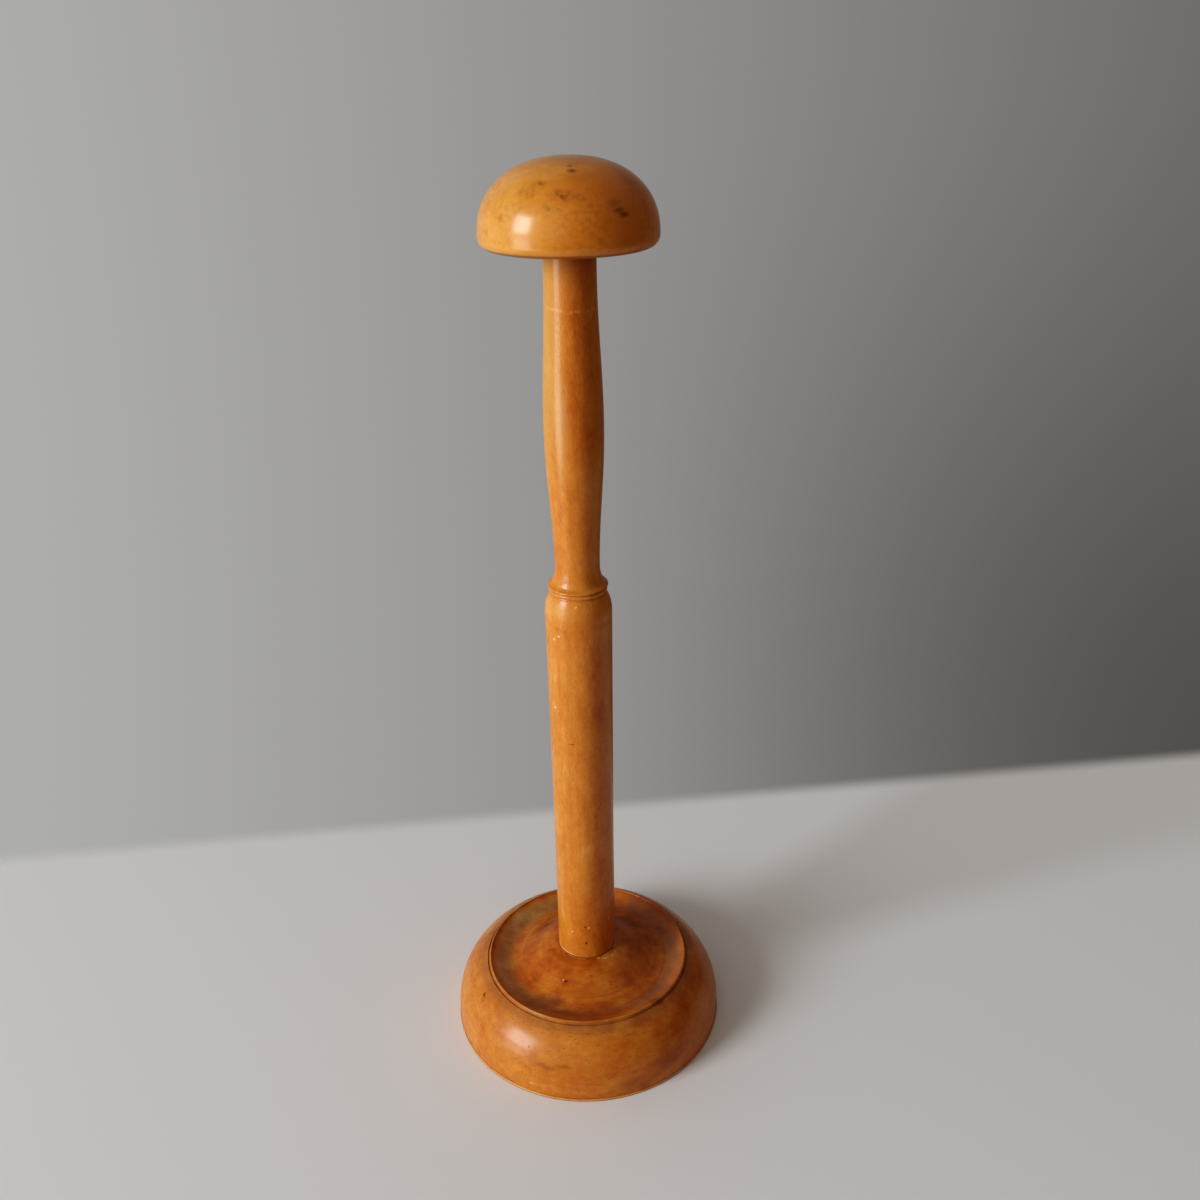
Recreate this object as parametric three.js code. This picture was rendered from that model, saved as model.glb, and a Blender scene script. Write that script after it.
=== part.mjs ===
// Turned wooden hat stand: a heavy round base, a tall turned stem and a mushroom cap that a hat rests on.
// Millimetres, +Z up, the origin at the middle of the flat underside. Each piece is a solid of revolution
// about Z. The stem is glued in with a round tenon at each end, so nothing moves.
import * as THREE from 'three';

// Base: a solid disc with a round flank over a fine lip, a thin raised rim, a moat inside the rim and a
// crowned middle that the stem stands on.
const BASE_RADIUS = 57;
const BASE_LIP_PROUD = 0.3;
const BASE_LIP_HEIGHT = 1.4;
const BASE_LIP_ROUND = 0.35;
const FLANK_ARC_RADIUS = 24.9;
const FLANK_ARC_SWEEP_DEG = 62.2;
const FLANK_ARC_START_Z = 5.3;
const RIM_QUIRK_DEPTH = 0.25;
const RIM_RISE = 1.3;
const RIM_BEAD_RADIUS = 0.5;
const RIM_BATTER = 0.35;
const RIM_QUIRK_WIDTH = 0.5;
const MOAT_WIDTH = 8;
const MOAT_DEPTH = 3.4;
const MOAT_WALL_POWER = 1.6;
const CROWN_RISE = 5.6;
const CROWN_SEAT_MARGIN = 0.6;
const CROWN_EVENNESS = 0.32;

// Stem, from the foot up: a slightly waisted column, a rounded shoulder, a narrow rounded band, a small
// bead, a flared neck and a long swelling handle. Fine joints lie under and over the band.
const FOOT_RADIUS = 12.25;
const FOOT_CHAMFER = 0.5;
const COLUMN_WAIST_RADIUS = 12.15;
const COLUMN_WAIST_HEIGHT = 56;
const COLUMN_LENGTH = 160.2;
const COLUMN_TOP_RADIUS = 12.78;
const SHOULDER_ARC_RADIUS = 15;
const SHOULDER_RISE = 7.5;
const JOINT_RADIUS = 10.7;
const LOWER_JOINT_RISE = 0.4;
const BAND_RADIUS = 11.1;
const BAND_ARC_RADIUS = 1;
const BAND_RISE = 1.27;
const UPPER_JOINT_RISE = 1.12;
const BEAD_RADIUS = 11.4;
const BEAD_ARC_RADIUS = 0.9;
const BEAD_RISE = 0.15;
const NECK_RADIUS = 8.4;
const NECK_FLARE_RADIUS = 13;
const NECK_RISE = 7.6;
const HANDLE_LOWER_LENGTH = 53.06;
const HANDLE_SWELL_RADIUS = 10.75;
const HANDLE_UPPER_LENGTH = 53.9;
const HANDLE_TOP_RADIUS = 9.05;
const HANDLE_TOP_LENGTH = 8;

// Cap: a dome over a rounded lower edge and a flat underside.
const CAP_RADIUS = 30.2;
const CAP_HEIGHT = 28.2;
const CAP_EDGE_RADIUS = 3.7;
const CAP_DOME_POWER = 2.25;

// Glued joints: round tenons on the stem's ends, in blind mortises.
const FOOT_TENON_RADIUS = 8;
const FOOT_TENON_LENGTH = 20;
const CAP_TENON_RADIUS = 6.4;
const CAP_TENON_LENGTH = 15;
const TENON_CHAMFER = 0.8;
const JOINT_CLEARANCE = 0.3;
const GLUE_SPACE = 1.5;

// Flat facets round each piece and along its curves.
const BASE_SEGMENTS = 60;
const STEM_SEGMENTS = 40;
const CAP_SEGMENTS = 52;
const FLANK_STEPS = 11;
const MOAT_STEPS = 5;
const CROWN_STEPS = 8;
const SMALL_ARC_STEPS = 5;
const HANDLE_STEPS = 8;
const DOME_STEPS = 12;

const material = (name, color, roughness) =>
  new THREE.MeshStandardMaterial({ name, color, roughness, metalness: 0 });
const baseWood = material('base_wood', 0xa5561e, 0.42);
const stemWood = material('stem_wood', 0xd98b35, 0.36);
const capWood = material('cap_wood', 0xc9762a, 0.32);

const point = (radius, z) => new THREE.Vector2(radius, z);

// Points on an arc about (centreR, centreZ), from one angle to another in degrees, 0 pointing outwards.
function arc(centreR, centreZ, radius, fromDeg, toDeg, steps) {
  const points = [];
  for (let i = 0; i <= steps; i += 1) {
    const angle = THREE.MathUtils.degToRad(fromDeg + ((toDeg - fromDeg) * i) / steps);
    points.push(point(centreR + radius * Math.cos(angle), centreZ + radius * Math.sin(angle)));
  }
  return points;
}

// Points strictly between two heights where the radius eases from one value to another.
function ease(fromRadius, fromZ, toRadius, toZ, steps) {
  const points = [];
  for (let i = 1; i < steps; i += 1) {
    const t = i / steps;
    const blend = (1 - Math.cos(Math.PI * t)) / 2;
    points.push(point(fromRadius + (toRadius - fromRadius) * blend, fromZ + (toZ - fromZ) * t));
  }
  return points;
}

// Where a small round turns into the straight or hollow beside it, as angles from straight outwards.
const RIM_BEAD_FROM_DEG = 20;
const BAND_FROM_DEG = -65;
const BAND_TO_DEG = 60;
const BEAD_FROM_DEG = 8;
const BEAD_TO_DEG = 60;
const FLARE_FROM_DEG = 207.6;

// A profile runs from the axis at the bottom, round the outside, to the axis at the top. LatheGeometry
// turns it about Y, so each piece is tipped up to stand on Z.
function turned(name, profile, segments, wood) {
  const geometry = new THREE.LatheGeometry(profile, segments);
  geometry.rotateX(Math.PI / 2);
  const mesh = new THREE.Mesh(geometry, wood);
  mesh.name = name;
  return mesh;
}

// Heights that more than one piece needs, each from the one below it.
const sweep = THREE.MathUtils.degToRad(FLANK_ARC_SWEEP_DEG);
const flankCentreR = BASE_RADIUS - FLANK_ARC_RADIUS;
const quirkR = flankCentreR + FLANK_ARC_RADIUS * Math.cos(sweep);
const rimQuirkZ = FLANK_ARC_START_Z + FLANK_ARC_RADIUS * Math.sin(sweep);
const rimCrestZ = rimQuirkZ + RIM_RISE;
const seatZ = rimCrestZ + CROWN_RISE;
const columnTopZ = seatZ + COLUMN_LENGTH;
const lowerJointZ = columnTopZ + SHOULDER_RISE + LOWER_JOINT_RISE;
const bandZ = lowerJointZ + BAND_RISE;
const upperJointZ = bandZ + UPPER_JOINT_RISE;
const beadZ = upperJointZ + BEAD_RISE;
const neckZ = beadZ + NECK_RISE;
const swellZ = neckZ + HANDLE_LOWER_LENGTH;
const handleTopZ = swellZ + HANDLE_UPPER_LENGTH;
const capZ = handleTopZ + HANDLE_TOP_LENGTH;

function makeBase() {
  const lipRadius = BASE_RADIUS + BASE_LIP_PROUD;
  const rimOuterR = quirkR - RIM_QUIRK_WIDTH;
  const rimCentreR = rimOuterR - RIM_BATTER - RIM_BEAD_RADIUS;
  const rimCentreZ = rimCrestZ - RIM_BEAD_RADIUS;
  const rimInnerR = rimCentreR - RIM_BEAD_RADIUS;
  const moatR = rimCentreR - MOAT_WIDTH;
  const moatZ = rimCrestZ - MOAT_DEPTH;
  const seatRadius = FOOT_RADIUS + CROWN_SEAT_MARGIN;
  const mortiseRadius = FOOT_TENON_RADIUS + JOINT_CLEARANCE;
  const mortiseFloorZ = seatZ - FOOT_TENON_LENGTH - GLUE_SPACE;

  // The moat's outer wall is hollow: steepest at the rim and level at the bottom.
  const moatWall = [];
  for (let i = MOAT_STEPS - 1; i >= 0; i -= 1) {
    const t = i / MOAT_STEPS;
    const rise = (rimCentreZ - moatZ) * t ** MOAT_WALL_POWER;
    moatWall.push(point(moatR + (rimInnerR - moatR) * t, moatZ + rise));
  }

  // The crowned middle falls from the stem's seat to the moat, steepest half way.
  const crown = [];
  for (let i = CROWN_STEPS - 1; i > 0; i -= 1) {
    const t = i / CROWN_STEPS;
    const fall = (1 - Math.cos(Math.PI * t)) / 2;
    const drop = (1 - CROWN_EVENNESS) * fall + CROWN_EVENNESS * t;
    crown.push(point(seatRadius + (moatR - seatRadius) * t, seatZ - (seatZ - moatZ) * drop));
  }
  const profile = [
    point(0, 0),
    point(lipRadius - BASE_LIP_ROUND, 0),
    point(lipRadius, BASE_LIP_ROUND),
    point(lipRadius, BASE_LIP_HEIGHT - BASE_LIP_ROUND),
    point(BASE_RADIUS, BASE_LIP_HEIGHT),
    ...arc(flankCentreR, FLANK_ARC_START_Z, FLANK_ARC_RADIUS, 0, FLANK_ARC_SWEEP_DEG, FLANK_STEPS),
    point(rimOuterR, rimQuirkZ - RIM_QUIRK_DEPTH),
    ...arc(rimCentreR, rimCentreZ, RIM_BEAD_RADIUS, RIM_BEAD_FROM_DEG, 180, SMALL_ARC_STEPS),
    ...moatWall,
    ...crown,
    point(seatRadius, seatZ),
    point(mortiseRadius, seatZ),
    point(mortiseRadius, mortiseFloorZ),
    point(0, mortiseFloorZ),
  ];
  return turned('base', profile, BASE_SEGMENTS, baseWood);
}

function makeStem() {
  const shoulderCentreR = COLUMN_TOP_RADIUS - SHOULDER_ARC_RADIUS;
  const shoulderDeg = THREE.MathUtils.radToDeg(Math.asin(SHOULDER_RISE / SHOULDER_ARC_RADIUS));
  const tenonEndZ = seatZ - FOOT_TENON_LENGTH;
  const capTenonEndZ = capZ + CAP_TENON_LENGTH;
  const profile = [
    point(0, tenonEndZ),
    point(FOOT_TENON_RADIUS - TENON_CHAMFER, tenonEndZ),
    point(FOOT_TENON_RADIUS, tenonEndZ + TENON_CHAMFER),
    point(FOOT_TENON_RADIUS, seatZ),
    point(FOOT_RADIUS - FOOT_CHAMFER, seatZ),
    point(FOOT_RADIUS, seatZ + FOOT_CHAMFER),
    point(COLUMN_WAIST_RADIUS, seatZ + COLUMN_WAIST_HEIGHT),
    ...arc(shoulderCentreR, columnTopZ, SHOULDER_ARC_RADIUS, 0, shoulderDeg, SMALL_ARC_STEPS),
    point(JOINT_RADIUS, lowerJointZ),
    ...arc(BAND_RADIUS - BAND_ARC_RADIUS, bandZ, BAND_ARC_RADIUS, BAND_FROM_DEG, BAND_TO_DEG, SMALL_ARC_STEPS),
    point(JOINT_RADIUS, upperJointZ),
    ...arc(BEAD_RADIUS - BEAD_ARC_RADIUS, beadZ, BEAD_ARC_RADIUS, BEAD_FROM_DEG, BEAD_TO_DEG, SMALL_ARC_STEPS),
    ...arc(NECK_RADIUS + NECK_FLARE_RADIUS, neckZ, NECK_FLARE_RADIUS, FLARE_FROM_DEG, 180, SMALL_ARC_STEPS),
    ...ease(NECK_RADIUS, neckZ, HANDLE_SWELL_RADIUS, swellZ, HANDLE_STEPS),
    point(HANDLE_SWELL_RADIUS, swellZ),
    ...ease(HANDLE_SWELL_RADIUS, swellZ, HANDLE_TOP_RADIUS, handleTopZ, HANDLE_STEPS),
    point(HANDLE_TOP_RADIUS, handleTopZ),
    point(HANDLE_TOP_RADIUS, capZ),
    point(CAP_TENON_RADIUS, capZ),
    point(CAP_TENON_RADIUS, capTenonEndZ - TENON_CHAMFER),
    point(CAP_TENON_RADIUS - TENON_CHAMFER, capTenonEndZ),
    point(0, capTenonEndZ),
  ];
  return turned('stem', profile, STEM_SEGMENTS, stemWood);
}

function makeCap() {
  const mortiseRadius = CAP_TENON_RADIUS + JOINT_CLEARANCE;
  const mortiseTopZ = capZ + CAP_TENON_LENGTH + GLUE_SPACE;
  const widestZ = capZ + CAP_EDGE_RADIUS;
  const domeHeight = CAP_HEIGHT - CAP_EDGE_RADIUS;

  // The dome is a superellipse, a little squarer than an ellipse.
  const dome = [];
  for (let i = 1; i < DOME_STEPS; i += 1) {
    const angle = (Math.PI / 2) * (i / DOME_STEPS);
    const r = CAP_RADIUS * Math.cos(angle) ** (2 / CAP_DOME_POWER);
    dome.push(point(r, widestZ + domeHeight * Math.sin(angle) ** (2 / CAP_DOME_POWER)));
  }
  const profile = [
    point(0, mortiseTopZ),
    point(mortiseRadius, mortiseTopZ),
    point(mortiseRadius, capZ),
    ...arc(CAP_RADIUS - CAP_EDGE_RADIUS, widestZ, CAP_EDGE_RADIUS, -90, 0, SMALL_ARC_STEPS),
    ...dome,
    point(0, capZ + CAP_HEIGHT),
  ];
  return turned('cap', profile, CAP_SEGMENTS, capWood);
}

const group = new THREE.Group();
group.add(makeBase());
group.add(makeStem());
group.add(makeCap());

export default group;
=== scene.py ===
"""Turned wooden hat stand: a round base, a tall stem and a mushroom cap, with an old worn polish."""

import math

import bpy
from bpy.props import FloatProperty, FloatVectorProperty, PointerProperty
from mathutils import Matrix, Vector


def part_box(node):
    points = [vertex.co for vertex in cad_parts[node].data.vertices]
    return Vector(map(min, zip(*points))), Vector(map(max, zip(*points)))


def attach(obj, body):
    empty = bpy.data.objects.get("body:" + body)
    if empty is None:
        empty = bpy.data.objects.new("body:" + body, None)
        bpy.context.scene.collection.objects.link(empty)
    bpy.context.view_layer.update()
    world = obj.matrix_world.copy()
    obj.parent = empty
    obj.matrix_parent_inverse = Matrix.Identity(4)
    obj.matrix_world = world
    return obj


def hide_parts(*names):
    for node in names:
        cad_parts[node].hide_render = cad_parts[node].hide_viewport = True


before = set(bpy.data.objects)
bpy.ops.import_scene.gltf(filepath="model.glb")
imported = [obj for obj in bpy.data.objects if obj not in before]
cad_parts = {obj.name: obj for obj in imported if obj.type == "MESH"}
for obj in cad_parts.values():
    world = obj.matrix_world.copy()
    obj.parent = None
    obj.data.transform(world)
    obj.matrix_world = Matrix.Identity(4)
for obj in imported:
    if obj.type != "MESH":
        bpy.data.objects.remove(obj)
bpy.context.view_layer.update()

bl_info = {
    "name": "Wooden Hat Stand",
    "version": (1, 0, 0),
    "blender": (4, 5, 0),
    "location": "View3D > Sidebar > Hat Stand",
    "description": "Turns the three pieces of a wooden hat stand and sets a plain stage for them",
    "category": "Add Mesh",
}

MM = 0.001

# Side of the photograph in pixels, and width of the camera's sensor in millimetres.
PHOTO_SIDE = 1200
SENSOR_WIDTH = 36.0

# How the photograph deepens its shadows: pairs of true and shown brightness.
TOE = ((0.02, 0.006), (0.07, 0.036), (0.14, 0.098), (0.25, 0.208), (0.5, 0.48))

# Colours of the daylight in the window and of the warm light behind the camera.
DAYLIGHT = (0.97, 1.01, 1.04)
WARM_LIGHT = (1.0, 0.88, 0.74)

# The windows face the middle of the stand from this far away, in metres.
STAND_MIDDLE = Vector((0, 0, 0.18))
WINDOW_DISTANCE = 3.0

# Where the floor fades out, in millimetres from the stand's middle: behind the stand and all round.
BACK_FADE = (137.0, 153.0)
FLOOR_FADE = (520.0, 690.0)

# Edges round a turned piece and round the floor.
LATHE_STEPS = 160
FLOOR_STEPS = 96

# The steepest fold that is still shaded as a smooth curve.
SMOOTH_FOLD = math.radians(33)

# Straight pieces that the longer curves of the profiles are made of.
FLANK_STEPS = 40
MOAT_STEPS = 16
CROWN_STEPS = 32
HANDLE_STEPS = 24
DOME_STEPS = 48

# Millimetres of the stem's foot, which the seat in the base follows too.
FOOT_RADIUS = 12.25
FOOT_TENON_LENGTH = 20

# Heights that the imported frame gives: the stem stands on the base, and the cap sits on the stem.
STEM_LOW, STEM_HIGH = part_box("stem")
CAP_LOW, CAP_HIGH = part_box("cap")


# Sizes and colours

def length(name, description, millimetres):
    """A size in the sidebar, kept in metres."""
    return FloatProperty(
        name=name, description=description, default=millimetres * MM, min=0.0, precision=5, unit="LENGTH"
    )


def turn(name, description, degrees):
    """An angle in the sidebar, kept in radians."""
    return FloatProperty(
        name=name, description=description, default=math.radians(degrees), precision=4, unit="ROTATION"
    )


def power(name, description, watts):
    """The power of a light in the sidebar."""
    return FloatProperty(name=name, description=description, default=watts, min=0.0, unit="POWER")


def colour(name, description, red, green, blue):
    """A colour in the sidebar."""
    return FloatVectorProperty(
        name=name, description=description, default=(red, green, blue), min=0.0, max=1.0, subtype="COLOR"
    )


class BaseSizes(bpy.types.PropertyGroup):
    """Sizes of the turned base"""

    radius: length("Radius", "Widest part of the flank", 57)
    lip_proud: length("Lip Proud", "How far the fine lip stands out below the flank", 0.3)
    lip_height: length("Lip Height", "Height of the fine lip", 1.4)
    lip_round: length("Lip Round", "How far the lip's edges are eased", 0.35)
    flank_arc: length("Flank Arc", "Radius of the flank's round", 24.9)
    flank_sweep: turn("Flank Sweep", "Angle that the flank's round turns through", 62.2)
    flank_start: length("Flank Start", "Height where the flank's round starts", 5.3)
    quirk_depth: length("Quirk Depth", "Depth of the fine groove outside the rim", 0.25)
    quirk_width: length("Quirk Width", "Width of the fine groove outside the rim", 0.5)
    rim_rise: length("Rim Rise", "How far the rim's crest stands over the groove", 1.3)
    rim_bead: length("Rim Bead", "Radius of the rim's rounded crest", 0.5)
    rim_batter: length("Rim Batter", "How far the rim's outer face leans in", 0.35)
    moat_width: length("Moat Width", "From the rim's middle to the bottom of the moat", 8)
    moat_depth: length("Moat Depth", "From the rim's crest down to the moat", 3.4)
    moat_power: FloatProperty(
        name="Moat Power",
        description="1 for a straight outer wall, more for one that is steeper at the rim",
        default=1.6,
        min=1.0,
        max=6.0,
    )
    seat_margin: length("Seat Margin", "Level ring round the stem's foot", 0.6)
    mortise_radius: length("Mortise Radius", "Radius of the hole for the stem's tenon", 8.3)
    mortise_depth: length("Mortise Depth", "Depth of the hole for the stem's tenon", 21.5)
    crown_evenness: FloatProperty(
        name="Crown Evenness",
        description="0 for a crown that falls in a soft wave, 1 for a plain cone",
        default=0.32,
        min=0.0,
        max=1.0,
        subtype="FACTOR",
    )


class StemSizes(bpy.types.PropertyGroup):
    """Sizes of the turned stem"""

    foot_radius: length("Foot Radius", "Radius of the column at the base", FOOT_RADIUS)
    foot_chamfer: length("Foot Chamfer", "Small bevel round the foot", 0.5)
    waist_radius: length("Waist Radius", "Radius of the column at its waist", 12.15)
    waist_height: length("Waist Height", "Height of the waist over the foot", 56)
    column_length: length("Column Length", "From the foot to the start of the shoulder", 160.2)
    column_radius: length("Column Radius", "Radius of the column at its top", 12.78)
    shoulder_arc: length("Shoulder Arc", "Radius of the shoulder's round", 15)
    shoulder_rise: length("Shoulder Rise", "Height of the shoulder", 7.5)
    joint_radius: length("Joint Radius", "Radius at the bottom of the fine joints beside the band", 10.7)
    lower_joint: length("Lower Joint", "From the shoulder's top to the joint under the band", 0.4)
    band_radius: length("Band Radius", "Widest part of the narrow rounded band", 11.1)
    band_arc: length("Band Arc", "Radius of the band's round", 1)
    band_rise: length("Band Rise", "From the joint under the band to its middle", 1.27)
    upper_joint: length("Upper Joint", "From the band's middle to the joint over it", 1.12)
    bead_radius: length("Bead Radius", "Widest part of the small bead", 11.4)
    bead_arc: length("Bead Arc", "Radius of the bead's round", 0.9)
    bead_rise: length("Bead Rise", "From the joint under the bead to its middle", 0.15)
    neck_radius: length("Neck Radius", "Radius of the narrow neck", 8.4)
    flare_radius: length("Flare Radius", "Radius of the hollow between bead and neck", 13)
    neck_rise: length("Neck Rise", "From the middle of the bead to the neck", 7.6)
    lower_length: length("Lower Handle", "From the neck to the widest part of the handle", 53.06)
    swell_radius: length("Swell Radius", "Widest part of the handle", 10.75)
    upper_length: length("Upper Handle", "From the widest part of the handle to its straight top", 53.9)
    top_radius: length("Top Radius", "Radius of the handle under the cap", 9.05)
    foot_tenon_radius: length("Foot Tenon Radius", "Radius of the tenon in the base", 8)
    cap_tenon_radius: length("Cap Tenon Radius", "Radius of the tenon in the cap", 6.4)
    foot_tenon_length: length("Foot Tenon Length", "Length of the tenon in the base", FOOT_TENON_LENGTH)
    tenon_chamfer: length("Tenon Chamfer", "Bevel at the ends of the tenons", 0.8)


class CapSizes(bpy.types.PropertyGroup):
    """Sizes of the turned cap"""

    radius: length("Radius", "Widest part of the cap", 30.2)
    height: FloatProperty(
        name="Height",
        description="From the flat underside to the crown",
        default=CAP_HIGH.z - CAP_LOW.z,
        min=0.0,
        precision=5,
        unit="LENGTH",
    )
    edge_radius: length("Edge Radius", "Round of the lower edge", 3.7)
    mortise_radius: length("Mortise Radius", "Radius of the hole for the stem's tenon", 6.7)
    mortise_depth: length("Mortise Depth", "Depth of the hole for the stem's tenon", 16.5)
    dome_power: FloatProperty(
        name="Dome Power",
        description="2 for an ellipse, more for a squarer dome",
        default=2.25,
        min=1.0,
        max=6.0,
    )


class WoodColours(bpy.types.PropertyGroup):
    """Colours of the polished wood, from worn to dirty, and of the painted light and shade on it"""

    # Pale also serves as painted highlight, on the handle, the shoulder, the rim's crest and over the cap's
    # lower edge.
    pale: colour("Pale", "Worn, bleached wood", 0.74, 0.43, 0.17)
    golden: colour("Golden", "Light wood under amber polish", 0.62, 0.240, 0.038)
    amber: colour("Amber", "Even, aged wood", 0.48, 0.124, 0.009)
    russet: colour("Russet", "Deep, red brown wood", 0.25, 0.058, 0.005)
    umber: colour("Umber", "Dark knots and pores", 0.11, 0.028, 0.004)
    # Straw is painted light: yellower wood on the side of the cap that faces the window.
    straw_painted_light: colour("Straw", "Yellow wood on the side of the cap that faces the window", 0.66, 0.33, 0.05)
    # Honey is painted shade: more orange wood on the far side of the cap.
    honey_painted_shade: colour("Honey", "Orange wood on the far side of the cap", 0.68, 0.20, 0.012)
    # Hay is painted light: dull yellow on the handle where it faces the window.
    hay_painted_light: colour("Hay", "Dull yellow wood on the worn side of the handle", 0.52, 0.325, 0.09)
    # Olive also serves as painted shade under the cap's lower edge.
    olive: colour("Olive", "Soft brown flecks in the grain", 0.24, 0.083, 0.009)
    # Grime serves both as real dirt and as painted shade in joints, beside the rim, round the stem's foot and
    # along the base's bottom edge.
    grime_and_shade: colour("Grime", "Old dirt in grooves and corners", 0.12, 0.046, 0.024)
    # Bare also serves as a painted highlight along the edge of the stem's foot.
    bare: colour("Bare", "Chips through the polish", 0.84, 0.54, 0.26)
    # Bloom is partly a painted greyish reflection, on the right of the moat and beside the rim.
    bloom_and_sheen: colour("Bloom", "Dull, greyish polish in the moat and beside the rim", 0.36, 0.20, 0.11)


class StageSettings(bpy.types.PropertyGroup):
    """Floor, lights and camera"""

    floor: colour("Floor", "Plain floor under the stand", 0.86, 0.845, 0.85)
    floor_radius: length("Floor Radius", "Radius of the round floor", 700)
    room_left: colour("Room Left", "Soft light from the window side of the room", 0.60, 0.60, 0.60)
    room_middle: colour("Room Middle", "Soft light from behind the stand", 0.335, 0.33, 0.325)
    room_turn: colour("Room Turn", "Between the light behind the stand and the far side", 0.20, 0.193, 0.187)
    room_right: colour("Room Right", "Dim, warm light from the far side of the room", 0.165, 0.112, 0.068)
    room_back: colour("Room Back", "Dark, warm room behind the camera", 0.05, 0.03, 0.014)
    low_wall: colour("Low Wall", "Shaded foot of the wall on the right", 0.09, 0.084, 0.08)
    ceiling: colour("Ceiling", "Soft light from above", 0.30, 0.275, 0.245)
    window_power: power("Window Power", "Power of the window on the left", 70.0)
    sill_power: power("Sill Power", "Power of the window's dimmer lower part", 30.0)
    second_power: power("Second Power", "Power of the soft light behind the camera", 4.5)
    camera_back: length("Camera Back", "Distance of the camera in front of the stand", 399.84)
    camera_height: length("Camera Height", "Height of the camera over the floor", 386.87)
    camera_pitch: turn("Camera Pitch", "How far the camera looks down", 25.295)
    camera_yaw: turn("Camera Yaw", "How far the camera is turned to the right", 1.1755)
    camera_roll: turn("Camera Roll", "How far the camera leans", -0.99)
    focal_pixels: FloatProperty(
        name="Focal Length", description="Focal length in pixels of the photograph", default=1171.0, min=1.0
    )


# Shader maths

# Numbers of the Mix node's colour sockets, which share their names with others.
MIX_FIRST = 6
MIX_SECOND = 7
MIX_RESULT = 2


class Signal:
    """One output socket. Sums and products of signals and numbers add the Math nodes that they need."""

    def __init__(self, finish, socket):
        self.finish = finish
        self.socket = socket

    def __add__(self, other):
        return self.finish.maths("ADD", self, other)

    def __sub__(self, other):
        return self.finish.maths("SUBTRACT", self, other)

    def __rsub__(self, other):
        return self.finish.maths("SUBTRACT", other, self)

    def __mul__(self, other):
        return self.finish.maths("MULTIPLY", self, other)

    def __pow__(self, other):
        return self.finish.maths("POWER", self, other)

    __radd__ = __add__
    __rmul__ = __mul__


def opaque(tint):
    """A plain colour with full alpha, as sockets want it."""
    return (tint[0], tint[1], tint[2], 1.0)


def place_stops(ramp, stops):
    """Gives a colour ramp its stops, each a place and a colour."""
    while len(ramp.elements) < len(stops):
        ramp.elements.new(0.5)
    for element, (place, tint) in zip(ramp.elements, stops):
        element.position = place
        element.color = opaque(tint)


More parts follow.
